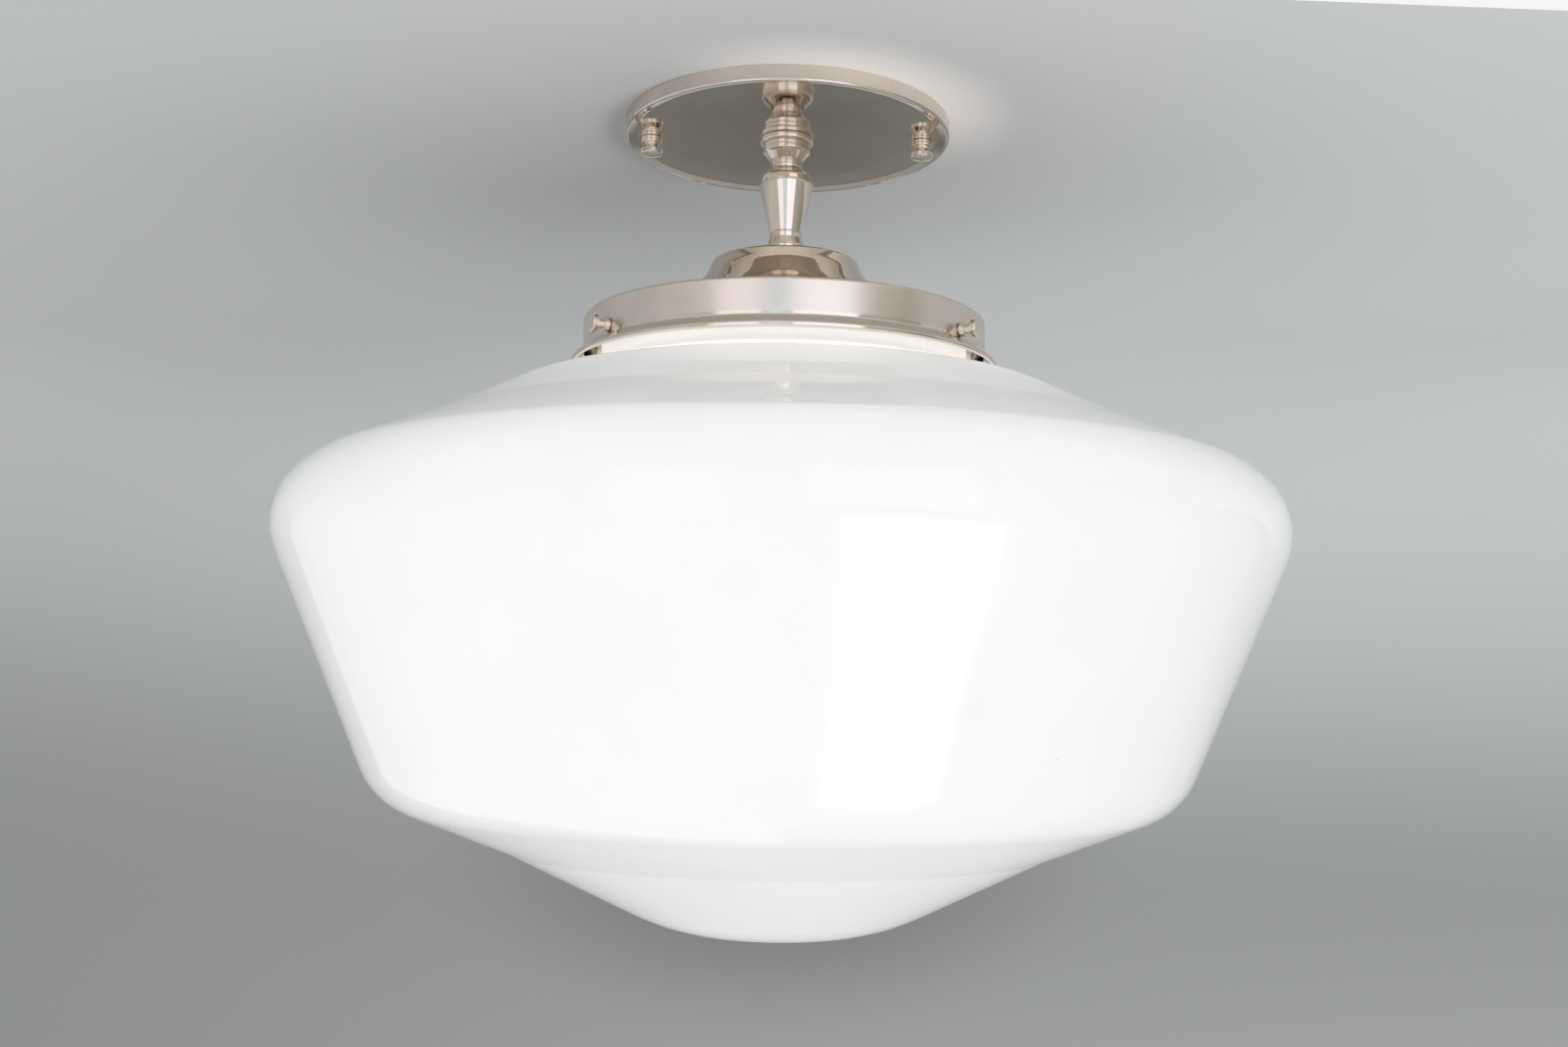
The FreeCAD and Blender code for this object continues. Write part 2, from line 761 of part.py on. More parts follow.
def make_thumb_screw(side, bearing):
    flange_end = "thumb_flange"
    neck_end = f"{flange_end} + thumb_neck"
    head_end = f"{neck_end} + thumb_head"
    screw = turned(f"thumb_screw_{side}", [
        ("0", "-thumb_reach"),
        ("thumb_radius - thumb_point", "-thumb_reach"),
        ("thumb_radius", "thumb_point - thumb_reach"),
        ("thumb_radius", "0"),
        ("thumb_flange_radius", "0"),
        ("thumb_flange_radius", flange_end),
        ("thumb_neck_radius", flange_end),
        ("thumb_neck_radius", neck_end),
        ("thumb_head_radius", neck_end, "thumb_head_round"),
        ("thumb_head_radius", head_end, "thumb_head_round"),
        ("0", head_end)])
    return on_bearing(screw, bearing, "holder_radius + seat_gap", "thumb_level")


def make_glass_shade():
    glass = turned("glass_shade", [
        ("0", "glass_mouth"),
        ("glass_lip_radius", "glass_mouth"),
        ("glass_neck_radius", "glass_lip_foot"),
        ("glass_neck_radius", "glass_foot", "glass_neck_round"),
        ("glass_collar_radius", "glass_foot - glass_collar_drop", "glass_collar_round"),
        ("glass_ridge_radius", "glass_foot - glass_ridge_drop", "glass_ridge_round"),
        ("glass_shoulder_radius", "glass_foot - glass_shoulder_drop", "glass_shoulder_round"),
        ("glass_belly_radius", "glass_foot - glass_belly_drop", "glass_belly_round"),
        ("glass_ledge_radius", "glass_foot - glass_ledge_drop", "glass_ledge_round"),
        ("glass_bowl_radius", "glass_foot - glass_bowl_drop", "glass_bowl_round"),
        ("glass_base_radius", "glass_foot - glass_base_drop", "glass_base_round"),
        ("0", "glass_foot - glass_base_drop")])
    hollowed(glass, "glass_wall", "glass_mouth")
    mouth = value("glass_mouth")
    return rounded(glass, "glass_lip_round", lambda edge: abs(edge.BoundBox.ZMin - mouth) < TOUCHING)


def make_socket_cap():
    inner = "cap_radius - cap_wall"
    return turned("socket_cap", [
        ("pipe_hole", "hub_top"),
        ("hub_radius", "hub_top"),
        ("hub_radius", "hub_foot", "cap_round"),
        ("cap_radius", "cap_level", "cap_round"),
        ("cap_radius", "cap_end"),
        (inner, "cap_end"),
        (inner, "cap_level - cap_wall"),
        ("hub_radius", "hub_foot - cap_wall * 2"),
        ("pipe_hole", "hub_foot - cap_wall * 2")])


def make_socket_body():
    spigot = "cap_radius - cap_wall - slip"
    body = turned("socket_body", [
        ("0", "porcelain_top"),
        (spigot, "porcelain_top"),
        (spigot, "cap_end"),
        ("cap_radius", "cap_end"),
        ("cap_radius", "porcelain_end", "porcelain_round"),
        ("cavity_radius", "porcelain_end"),
        ("cavity_radius", "cavity_top"),
        ("0", "cavity_top")])
    whole = body.Shape.Volume
    sketch = new_sketch(body, "terminal_holes", "XY_Plane")
    sketch.AttachmentOffset = FreeCAD.Placement(ALONG_Z * value("porcelain_top"), FreeCAD.Rotation())
    sketch.setExpression("AttachmentOffset.Base.z", bound("porcelain_top"))
    for side in "-+":
        circle(sketch, f"{side} terminal_spread / 2", "0", "terminal_radius + slip / 2")
    pocket = body.newObject("PartDesign::Pocket", "terminal_pocket")
    pocket.Profile = sketch
    pocket.setExpression("Length", bound("terminal_depth + slip"))
    document.recompute()
    if body.Shape.Volume >= whole:
        raise RuntimeError("the terminal holes cut nothing")
    return body


def make_terminal_screws():
    screws = []
    for side, sign in (("left", "-"), ("right", "+")):
        head = "porcelain_top + terminal_head"
        foot = "porcelain_top - terminal_depth"
        screw = turned(f"terminal_screw_{side}", [
            ("0", head),
            ("terminal_head_radius", head, "terminal_head / 4"),
            ("terminal_head_radius", "porcelain_top"),
            ("terminal_radius", "porcelain_top"),
            ("terminal_radius", foot),
            ("0", foot)])
        screws.append(shifted(screw, f"{sign} terminal_spread / 2"))
    return group("terminal_screws", screws)


def make_screw_shell():
    inner = "shell_radius - shell_wall"
    return turned("screw_shell", [
        ("shell_eye", "cavity_top"),
        ("shell_radius", "cavity_top"),
        ("shell_radius", "porcelain_end + shell_margin"),
        (inner, "porcelain_end + shell_margin"),
        (inner, "cavity_top - shell_wall"),
        ("shell_eye", "cavity_top - shell_wall")])


def make_centre_contact():
    foot = "cavity_top - contact_height"
    return turned("centre_contact", [
        ("0", "cavity_top"),
        ("contact_radius", "cavity_top"),
        ("contact_radius", foot, "contact_round"),
        ("0", foot)])


def make_bulb_contact():
    return turned("bulb_contact", [
        ("0", "bulb_top"),
        ("bulb_tip_radius", "bulb_top", "bulb_tip / 2"),
        ("bulb_tip_radius", "bulb_insulator_top"),
        ("0", "bulb_insulator_top")])


def make_bulb_insulator():
    return turned("bulb_insulator", [
        ("0", "bulb_insulator_top"),
        ("bulb_tip_radius", "bulb_insulator_top"),
        ("bulb_insulator_radius", "bulb_cap_top"),
        ("0", "bulb_cap_top")])


def make_bulb_cap():
    inner = "bulb_cap_radius - bulb_cap_wall"
    eye = "bulb_insulator_radius - bulb_cap_wall"
    return turned("bulb_cap", [
        (eye, "bulb_cap_top"),
        ("bulb_cap_radius", "bulb_cap_top - bulb_insulator / 2"),
        ("bulb_cap_radius", "bulb_cap_end"),
        (inner, "bulb_cap_end"),
        (inner, "bulb_cap_top - bulb_insulator / 2 - bulb_cap_wall"),
        (eye, "bulb_cap_top - bulb_cap_wall * 2")])


def make_bulb_glass():
    press = "bulb_cap_end + bulb_neck_grip"
    cone_top = "bulb_cap_end - bulb_neck"
    cone_foot = f"{cone_top} - bulb_cone"
    inner_neck = "bulb_neck_radius - bulb_wall"
    inner_belly = "bulb_radius - bulb_wall"
    return turned("bulb_glass", [
        ("bulb_neck_radius", press),
        ("bulb_neck_radius", cone_top, "bulb_neck_round"),
        ("bulb_radius", cone_foot, "bulb_cone_round"),
        ("bulb_radius", "bulb_end", "bulb_end_round"),
        ("0", "bulb_end"),
        ("0", "bulb_end + bulb_wall"),
        (inner_belly, "bulb_end + bulb_wall", "bulb_end_round - bulb_wall"),
        (inner_belly, cone_foot, "bulb_cone_round - bulb_wall"),
        (inner_neck, cone_top, "bulb_neck_round + bulb_wall"),
        (inner_neck, press)])


def make_mount():
    """What stays on the outlet box."""
    return [
        make_crossbar(),
        make_box_screw("left", "-box_screw_spacing / 2"),
        make_box_screw("right", "box_screw_spacing / 2"),
        make_stud("left", "-stud_spacing / 2"),
        make_stud("right", "stud_spacing / 2"),
        make_stud_lock_nuts(),
        make_ground_screw()]


def make_fixture():
    """What comes down with the canopy: pipe, stem, dome, holder and socket."""
    return [
        make_canopy(),
        make_stem_pipe(),
        make_washer("top_lock_washer", "canopy_top + washer_thickness"),
        make_pipe_nut("top_hex_nut", "canopy_top + washer_thickness + pipe_nut_height"),
        make_check_ring(),
        make_neck_collar(),
        make_column(),
        make_foot_ring(),
        make_dome_cap(),
        make_shade_holder(),
        make_screw_bushings(),
        make_washer("bottom_lock_washer", "bottom_washer_top"),
        make_pipe_nut("bottom_hex_nut", "bottom_nut_top"),
        make_socket_cap(),
        make_socket_body(),
        make_terminal_screws(),
        make_screw_shell(),
        make_centre_contact()]


def make_loose_pieces():
    """Nuts, thumb screws, shade and bulb, which each move by themselves."""
    nuts = [make_canopy_nut("left", "-stud_spacing / 2"), make_canopy_nut("right", "stud_spacing / 2")]
    screws = [make_thumb_screw(side, bearing) for side, bearing in thumb_bearings().items()]
    bulb = [make_bulb_glass(), make_bulb_cap(), make_bulb_insulator(), make_bulb_contact()]
    return nuts + screws + [make_glass_shade()] + bulb


def check(nodes):
    """Stop if a feature failed or a node has no sound shape."""
    for item in document.Objects:
        if "Invalid" in item.State or "Error" in item.State:
            raise RuntimeError(f"{item.Label} failed: {item.State}")
    for node in nodes:
        if node.Shape.isNull() or not node.Shape.isValid():
            raise RuntimeError(f"{node.Label} has no valid shape")


def write(nodes):
    os.makedirs("parts", exist_ok=True)
    for node in nodes:
        node.Shape.exportStep(f"parts/{node.Label}.step")
        print(f"{node.Label}: {len(node.Shape.Solids)} solid, {node.Shape.Volume / 1000:.2f} cm3")


fill_sheet()
NODES = make_mount() + make_fixture() + make_loose_pieces()
document.recompute()
check(NODES)
write(NODES)
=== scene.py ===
import json
import math

import bpy
from mathutils import Matrix, Vector


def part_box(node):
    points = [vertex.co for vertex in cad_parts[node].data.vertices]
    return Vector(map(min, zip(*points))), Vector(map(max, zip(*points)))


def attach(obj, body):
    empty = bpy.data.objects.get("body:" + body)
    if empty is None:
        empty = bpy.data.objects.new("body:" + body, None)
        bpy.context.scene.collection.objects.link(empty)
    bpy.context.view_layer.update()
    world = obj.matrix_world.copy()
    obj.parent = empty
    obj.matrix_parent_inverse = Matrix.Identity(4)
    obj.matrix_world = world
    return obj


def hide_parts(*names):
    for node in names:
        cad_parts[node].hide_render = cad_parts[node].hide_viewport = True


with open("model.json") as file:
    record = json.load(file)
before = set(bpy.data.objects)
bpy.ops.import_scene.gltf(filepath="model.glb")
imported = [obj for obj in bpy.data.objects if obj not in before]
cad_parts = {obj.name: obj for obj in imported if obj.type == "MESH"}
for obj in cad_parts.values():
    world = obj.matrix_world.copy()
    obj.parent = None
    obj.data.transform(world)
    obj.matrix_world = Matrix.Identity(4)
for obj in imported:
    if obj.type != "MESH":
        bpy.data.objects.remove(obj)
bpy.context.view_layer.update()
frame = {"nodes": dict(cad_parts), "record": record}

MM = 0.001

# Camera, found from the canopy's ellipses and the shade holder's, in metres, millimetres of lens and degrees
CAMERA_DISTANCE = 0.5810
CAMERA_DROP = 0.21904
CAMERA_LENS = 35.0
CAMERA_PITCH = 5.586
CAMERA_HEADING = 0.093
CAMERA_ROLL = 0.80
FILM_WIDTH = 36.0
NEAREST_SEEN = 0.01

# Sizes that several pieces share, in millimetres, and the steps and degrees that round them
PIPE_HOLE = 4.95
WALL = 1.0
FLUTE_EDGE = 0.07
SAME_POINT = 0.002
AROUND = 160
AROUND_WIDE = 256
AROUND_GLASS = 288
AROUND_NUT = 112
AROUND_SCREW = 96
ARC_STEP = math.radians(7)
SMOOTH_TURNING = 38
SMOOTH_FLUTES = 30

# The board behind the light, in metres, with a hole for the outlet box that the canopy hides, and its lamp
CEILING_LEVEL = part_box("canopy")[1].z
BOARD_HALF = 1.35
BOARD_FLAT = 0.35
BOARD_CORNER = 0.9
BOARD_DROP = 1.6
BOARD_EDGE = -0.1278
BOARD_SLANT = 0.0525
BOARD_STEPS = 24
BOX_HOLE = 60.0 * MM
BOX_HOLE_EDGE = 0.2 * MM
LAMP_PLACE = (1.3, -1.3, -0.9)
LAMP_AIM = (-0.1, 0.3, -0.1)
LAMP_SIZE = 0.8
LAMP_WATTS = 20.0


# Colours and polish

def tone(red, green, blue):
    """Colour written as the eye sees it, from 0 to 255, turned to the shader's linear values."""
    def linear(level):
        share = level / 255
        return share / 12.92 if share <= 0.04045 else ((share + 0.055) / 1.055) ** 2.4
    return (linear(red), linear(green), linear(blue), 1.0)


# Roughness of the finishes, and what wipe marks or mottle add to it
MIRROR = 0.02
MIRROR_WIPED = 0.02
SATIN = 0.21
SATIN_WIPED = 0.08
MOTTLED = 0.12
METAL = 1.0
NOT_METAL = 0.0
NICKEL_DEEP = tone(220, 210, 198)
NICKEL_PALE = tone(230, 221, 211)
OPAL_DEEP = tone(246, 247, 247)
OPAL_PALE = tone(250, 250, 249)
SEED_GREY = tone(120, 118, 114)

# Painted glow: the opal passes light on inside its wall, and an emission that rises towards the neck stands in
# for it, so the sheltered neck is hardly darker than the rest
PAINTED_GLOW_FOOT_LEVEL = -140.0 * MM
PAINTED_GLOW_TOP_LEVEL = -103.0 * MM
PAINTED_NECK_GLOW = (0.38, 0.38, 0.375, 1.0)
NO_LIGHT = (0.0, 0.0, 0.0, 1.0)

# Paint of the board, and the painted shade, painted shadow and painted glow that lie on it
PAINT_DEEP = tone(180, 182, 183)
PAINT_PALE = tone(186, 188, 188)
# Painted shade: tones that darken the board down the wall and to the left
PAINTED_SHADE_MIDDLE = tone(130, 132, 132)
PAINTED_SHADE_LOW = tone(156, 158, 157)
PAINTED_SHADE_LEFT = tone(134, 136, 135)
# Painted shadow: the dark tone of the glass shade's shadow on the wall
PAINTED_SHADOW = tone(102, 103, 101)
# Painted glow: the pale tone beside the canopy
PAINTED_RIM_GLOW = tone(252, 244, 240)
# Where the painted shadow lies, how far it reaches and how flat it is
PAINTED_SHADOW_LEVEL = -0.42
PAINTED_SHADOW_REACH = 0.42
PAINTED_SHADOW_SQUASH = 1.8
# Radii over which the painted glow fades out from the canopy
PAINTED_RIM_GLOW_OUTSIDE = 0.095
PAINTED_RIM_GLOW_INSIDE = 0.06

# The room that the nickel mirrors, and the soft light that falls on everything
ROOM_FLOOR = (0.74, 0.74, 0.76, 1.0)
ROOM_LEFT = (0.61, 0.57, 0.57, 1.0)
ROOM_RIGHT = (0.33, 0.32, 0.26, 1.0)
ROOM_ABOVE = (0.80, 0.76, 0.70, 1.0)
ROOM_SCREEN = (1.26, 1.18, 1.32, 1.0)
ROOM_WINDOW = (1.34, 1.36, 1.52, 1.0)
ROOM_GLASS_EDGE = (0.74, 0.96, 1.12, 1.0)
ROOM_FLOOR_PATCH = (1.7, 1.7, 1.7, 1.0)
SOFT_LOW = (0.80, 0.81, 0.82, 1.0)
SOFT_HIGH = (1.12, 1.12, 1.12, 1.0)
SOFT_ABOVE = (1.08, 1.08, 1.08, 1.0)
BACKDROP = (0.92, 0.92, 0.92, 1.0)


# Mesh making

def deselect():
    bpy.ops.object.select_all(action="DESELECT")


def select_mesh():
    bpy.ops.mesh.select_all(action="SELECT")


def edit_all():
    """Go into edit mode with the whole mesh selected."""
    bpy.ops.object.mode_set(mode="EDIT")
    select_mesh()


def leave_edit():
    bpy.ops.object.mode_set(mode="OBJECT")


def rounded(corners):
    """Points of an outline of (radius, level) corners, those with a third number rounded to an arc."""
    points = []
    for index, (across, up, *radius) in enumerate(corners):
        corner = Vector((across, up))
        if not radius:
            points.append(corner)
            continue
        before = Vector(corners[index - 1][:2]) - corner
        after = Vector(corners[(index + 1) % len(corners)][:2]) - corner
        before.normalize()
        after.normalize()
        half = before.angle(after) / 2
        middle = corner + (before + after).normalized() * (radius[0] / math.sin(half))
        first = corner + before * (radius[0] / math.tan(half)) - middle
        turn = -math.copysign(math.pi - 2 * half, before.cross(after))
        count = max(3, math.ceil(abs(turn) / ARC_STEP))
        points += [middle + Matrix.Rotation(turn * step / count, 2) @ first for step in range(count + 1)]
    return points


def start_at(name, spot):
    """Single vertex in edit mode, from which an outline is extruded."""
    deselect()
    bpy.ops.mesh.primitive_plane_add(size=MM, location=spot)
    piece = bpy.context.object
    piece.name = piece.data.name = name
    bpy.ops.object.transform_apply(location=True, rotation=False, scale=False)
    edit_all()
    bpy.ops.mesh.merge(type="CENTER")
    return piece


def draw_outline(name, points):
    """Closed outline in the XZ plane, extruded from vertex to vertex."""
    piece = start_at(name, (points[0].x * MM, 0, points[0].y * MM))
    for here, there in zip(points, points[1:]):
        step = (there - here) * MM
        bpy.ops.mesh.extrude_region_move(TRANSFORM_OT_translate={"value": (step.x, 0, step.y)})
    select_mesh()
    bpy.ops.mesh.edge_face_add()
    bpy.ops.mesh.delete(type="ONLY_FACE")
    return piece


def close_up(piece):
    """Merge doubles, turn the faces outwards and shade the piece smooth."""
    select_mesh()
    bpy.ops.mesh.remove_doubles(threshold=SAME_POINT * MM)
    bpy.ops.mesh.normals_make_consistent(inside=False)
    leave_edit()
    bpy.ops.object.shade_smooth_by_angle(angle=math.radians(SMOOTH_TURNING))
    return piece


def turned(name, corners, around=AROUND):
    """Piece turned about the Z axis from corners of radius and level in millimetres."""
    piece = draw_outline(name, rounded(corners))
    select_mesh()
    bpy.ops.mesh.spin(steps=around, angle=2 * math.pi, center=(0, 0, 0), axis=(0, 0, 1))
    return close_up(piece)


def place_mesh(piece, matrix):
    """Move a piece's mesh to its place, with its object left at the origin."""
    piece.data.transform(matrix)


def finish_piece(piece, material, body, slot, *nodes):
    """Give a piece its material and body, and hide the nodes that it stands for. The slot is not used."""
    piece.data.materials.clear()
    piece.data.materials.append(material)
    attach(piece, body)
    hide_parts(*nodes)


# Materials

class Value:
    """A node's output that adds Math nodes when it is used in an expression."""

    def __init__(self, recipe, socket):
        self.recipe = recipe
        self.socket = socket

    def maths(self, operation, *terms):
        return self.recipe.node("ShaderNodeMath", {"operation": operation}, dict(enumerate(terms)))

    def __add__(self, other):
        return self.maths("ADD", self, other)

    def __sub__(self, other):
        return self.maths("SUBTRACT", self, other)

    def __mul__(self, other):
        return self.maths("MULTIPLY", self, other)

    def __truediv__(self, other):
        return self.maths("DIVIDE", self, other)

    def __pow__(self, other):
        return self.maths("POWER", self, other)

    def __rsub__(self, other):
        return self.maths("SUBTRACT", other, self)

    __radd__ = __add__
    __rmul__ = __mul__


class Recipe:
    """A node tree, with one method that adds any node to it."""

    def __init__(self, tree):
        self.tree = tree
        tree.nodes.clear()

    def node(self, kind, settings=None, inputs=None, output=0):
        node = self.tree.nodes.new(kind)
        for name, setting in (settings or {}).items():
            setattr(node, name, setting)
        for name, value in (inputs or {}).items():
            if isinstance(value, Value):
                self.tree.links.new(value.socket, node.inputs[name])
            else:
                node.inputs[name].default_value = value
        return Value(self, node.outputs[output] if node.outputs else None)

    def place(self, centre=(0, 0, 0), turn=(0, 0, 0)):
        """Object coordinates seen from a piece's own centre and direction."""
        spot = self.node("ShaderNodeTexCoord", output="Object")
        return self.node("ShaderNodeMapping", {"vector_type": "TEXTURE"},
                         {"Vector": spot, "Location": centre, "Rotation": turn})

    def noise(self, vector, scale, detail=2.0, roughness=0.5):
        return self.node("ShaderNodeTexNoise", {}, {
            "Vector": vector, "Scale": scale, "Detail": detail, "Roughness": roughness})

    def span(self, value, low, high, to_low=0.0, to_high=1.0, kind="LINEAR"):
        """Value carried from one range to another and kept inside it."""
        return self.node("ShaderNodeMapRange", {"interpolation_type": kind}, {
            "Value": value, "From Min": low, "From Max": high, "To Min": to_low, "To Max": to_high})

    def mottled(self, noise, to_low=0.0, to_high=1.0):
        """Middle of a noise's range, spread from one value to another."""
        return self.span(noise, 0.3, 0.7, to_low, to_high)

    def ease(self, value, low, high):
        """Share from 0 to 1 that starts and ends gently."""
        return self.span(value, low, high, kind="SMOOTHSTEP")

    def blend(self, share, first, last):
        """Colour between two colours."""
        return self.node("ShaderNodeMix", {"data_type": "RGBA"}, {
            "Factor": share, 6: first, 7: last}, output=2)

    def from_axis(self, vector):
        """Distance from the Z axis."""
        x, y, _ = self.parts(vector)
        return (x * x + y * y) ** 0.5

    def lathe_marks(self, vector):
        """Fine rings round the piece's axis, as polishing on a lathe leaves."""
        x, _, down = self.parts(vector)
        rings = self.node("ShaderNodeCombineXYZ", {}, {"X": self.from_axis(vector), "Y": x * 0.02, "Z": down})
        return self.noise(rings, 2600.0, 3.0, 0.6)

    def bump(self, height, distance, strength):
        return self.node("ShaderNodeBump", {}, {"Height": height, "Distance": distance, "Strength": strength})

    def parts(self, vector):
        """The three numbers of a vector."""
        node = self.node("ShaderNodeSeparateXYZ", {}, {"Vector": vector}).socket.node
        return [Value(self, node.outputs[axis]) for axis in "XYZ"]

    def principled(self, **inputs):
        return self.node("ShaderNodeBsdfPrincipled", {}, {
            name.replace("_", " ").title().replace("Ior", "IOR"): value for name, value in inputs.items()})

    def finish(self, shader, kind="Material"):
        self.node(f"ShaderNodeOutput{kind}", {}, {"Surface": shader})


def new_material(name):
    material = bpy.data.materials.new(name)
    material.use_nodes = True
    return material, Recipe(material.node_tree)


def nickel_plate(name, centre=(0, 0, 0), turn=(0, 0, 0), satin=None):
    """Warm nickel plate with faint lathe rings and cloudy wipe marks.

    It is mirror bright but for its satin wall, which starts between two radii and between two levels.
    """
    material, recipe = new_material(name)
    spot = recipe.place(centre, turn)
    clouds = recipe.noise(spot, 45.0, 4.0, 0.6)
    rings = recipe.lathe_marks(spot)
    tint = recipe.blend(recipe.mottled(clouds), NICKEL_DEEP, NICKEL_PALE)
    rough = recipe.mottled(clouds * 0.6 + rings * 0.4, MIRROR, MIRROR + MIRROR_WIPED)
    if satin:
        inner, outer, low, high = (edge * MM for edge in satin)
        out = recipe.from_axis(spot)
        level = recipe.parts(spot)[2]
        wall = recipe.span(out, inner, outer) * recipe.span(level, low, high)
        rough = rough + wall * recipe.span(clouds, 0.2, 0.8, SATIN, SATIN + SATIN_WIPED)
    recipe.finish(recipe.principled(base_color=tint, metallic=METAL, roughness=rough,
                                    normal=recipe.bump(rings, 0.02 * MM, 0.2)))
    return material


def opal_glass():
    """White opal glass with a fire polish: faintly waved, a touch of milkiness, a few dark seeds and a painted
    glow, an emission that brightens the neck.
    """
    material, recipe = new_material("opal_glass")
    spot = recipe.place()
    waves = recipe.noise(spot, 9.0, 1.0, 0.4)
    milk = recipe.noise(spot, 22.0, 3.0, 0.55)
    seeds = recipe.node("ShaderNodeTexVoronoi", {}, {"Vector": spot, "Scale": 42.0})
    clear = recipe.blend(recipe.mottled(milk), OPAL_DEEP, OPAL_PALE)
    base = recipe.blend(recipe.span(seeds, 0.0085, 0.0075), clear, SEED_GREY)
    # Painted glow: emission that grows towards the neck, where the holder shades the glass
    level = recipe.parts(spot)[2]
    neck = recipe.span(level, PAINTED_GLOW_FOOT_LEVEL, PAINTED_GLOW_TOP_LEVEL)
    painted_glow = recipe.blend(neck * neck, NO_LIGHT, PAINTED_NECK_GLOW)
    recipe.finish(recipe.principled(
        base_color=base, roughness=0.03 + milk * 0.02, ior=1.5, emission_color=painted_glow, emission_strength=1.0,
        normal=recipe.bump(waves, 1.0 * MM, 0.3)))
    return material


def plain_finish(name, colour, second, metallic, rough, scale=120.0, depth=0.02):
    """Finish with a soft mottle of two near colours and a fine grain."""
    material, recipe = new_material(name)
    spot = recipe.place()
    mottle = recipe.noise(spot, scale, 4.0, 0.6)
    grain = recipe.noise(spot, scale * 12, 2.0, 0.6)
    recipe.finish(recipe.principled(
        base_color=recipe.blend(recipe.mottled(mottle), colour, second),
        metallic=metallic,
        roughness=recipe.mottled(mottle, rough, rough + MOTTLED),
        normal=recipe.bump(grain, depth * MM, 0.4)))
    return material


# Pieces turned on a lathe or spun, from the levels of the frame

def top(node):
    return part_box(node)[1].z / MM


def foot(node):
    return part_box(node)[0].z / MM


NICKEL = nickel_plate("polished_nickel")
OPAL = opal_glass()


def make_canopy():
    """Shallow pan with a flat land under its nuts and a bead round its lower edge."""
    ceiling, base = top("canopy"), foot("canopy")
    seat, land = top("check_ring"), top("canopy_nut_left")
    seat_edge, land_inside, land_outside = 12.0, 46.0, 57.2
    bead, side = 63.5, 63.35
    bead_top = base + 1.3
    canopy = turned("canopy_pan", [
        (PIPE_HOLE, seat), (seat_edge, seat, 60), (land_inside, land, 60), (land_outside, land),
        (59.2, land, 5), (62.0, base + 0.35, 0.3), (62.5, base, 0.25), (bead, base, 0.8),
        (bead, bead_top, 0.2), (side, base + 1.5, 0.2), (side, ceiling - 0.4, 0.2), (63.1, ceiling),
        (62.5, ceiling), (62.4, base + 2.2, 0.8), (58.0, land + WALL, 1.5), (land_inside, land + WALL, 60),
        (seat_edge, seat + WALL, 60), (PIPE_HOLE, seat + WALL)], AROUND_WIDE)
    plate = nickel_plate("canopy_nickel", satin=(63.2, 63.3, bead_top, base + 1.8))
    finish_piece(canopy, plate, "fixture", "polished_nickel", "canopy")


def make_check_ring():
    high, low = top("check_ring"), foot("check_ring")
    radius = 10.3
    ring = turned("check_ring_turned", [
        (PIPE_HOLE, high), (radius, high, 0.6), (radius, low, 1.0), (PIPE_HOLE, low)])
    finish_piece(ring, NICKEL, "fixture", "polished_nickel", "check_ring")


def make_neck_collar():
    """Grooved ring, cone, small ring and neck above the column."""
    high, low = top("neck_collar"), foot("neck_collar")
    step = high - 3.3
    cone = step - 0.7
    groove = cone - 2.6
    ring = groove - 0.6
    neck = ring - 1.3
    rim, groove_radius, ring_radius, neck_radius = 9.1, 5.9, 6.2, 5.7
    collar = turned("neck_collar_turned", [
        (PIPE_HOLE, high), (rim, high, 0.25), (rim, high - 1.5, 0.15), (8.85, high - 1.65),
        (rim, high - 1.8, 0.15), (rim, step, 0.35), (8.3, cone, 0.2), (6.4, groove, 0.3),
        (groove_radius, groove - 0.1, 0.1), (groove_radius, ring, 0.1), (ring_radius, ring, 0.2),
        (ring_radius, neck, 0.3), (neck_radius, neck), (neck_radius, low + 0.3), (5.55, low),
        (PIPE_HOLE, low)])
    finish_piece(collar, NICKEL, "fixture", "polished_nickel", "neck_collar")


def make_column():
    """Vase-shaped stem: bevelled shoulder, swell, long taper, groove and flared foot."""
    high, low = top("column"), foot("column")
    bevel = high - 3.1
    swell = bevel - 3.2
    taper = swell - 19.0
    groove = taper - 2.4
    flare = groove - 3.0
    shoulder_radius, swell_radius, waist_radius, foot_radius = 10.0, 10.6, 6.2, 7.4
    column = turned("column_turned", [
        (PIPE_HOLE, high), (6.5, high, 0.2), (shoulder_radius, bevel, 3.5), (swell_radius, swell, 5.0),
        (6.4, taper, 0.2), (waist_radius, taper - 0.2), (6.15, taper - 0.45, 0.1),
        (6.35, taper - 0.7, 0.1), (waist_radius, groove, 0.2), (foot_radius, flare, 3.0),
        (foot_radius, low + 0.2, 0.2), (7.2, low), (PIPE_HOLE, low)], AROUND_WIDE)
    finish_piece(column, NICKEL, "fixture", "polished_nickel", "column")


def make_foot_ring():
    high, low = top("foot_ring"), foot("foot_ring")
    radius = 8.0
    ring = turned("foot_ring_turned", [
        (PIPE_HOLE, high), (radius, high, 0.6), (radius, low, 0.4), (PIPE_HOLE, low)])
    finish_piece(ring, NICKEL, "fixture", "polished_nickel", "foot_ring")


def make_dome_cap():
    """Spun bell-shaped cap: a nearly flat crown, a rounded edge and a side that sweeps out to its foot."""
    high, low = top("dome_cap"), foot("dome_cap")
    seat_edge, foot_outside, foot_inside = 8.0, 48.0, 46.6
    dome = turned("dome_cap_spun", [
        (PIPE_HOLE, high), (seat_edge, high), (28.3, high - 2.6, 1.6), (30.3, high - 7.2, 18),
        (36.5, high - 17.1, 30), (foot_outside, low), (foot_inside, low), (35.7, high - 17.4, 30),
        (29.3, high - 7.4, 18), (27.4, high - 3.5, 0.7), (seat_edge, high - WALL),
        (PIPE_HOLE, high - WALL)], AROUND_WIDE)
    finish_piece(dome, NICKEL, "fixture", "polished_nickel", "dome_cap")


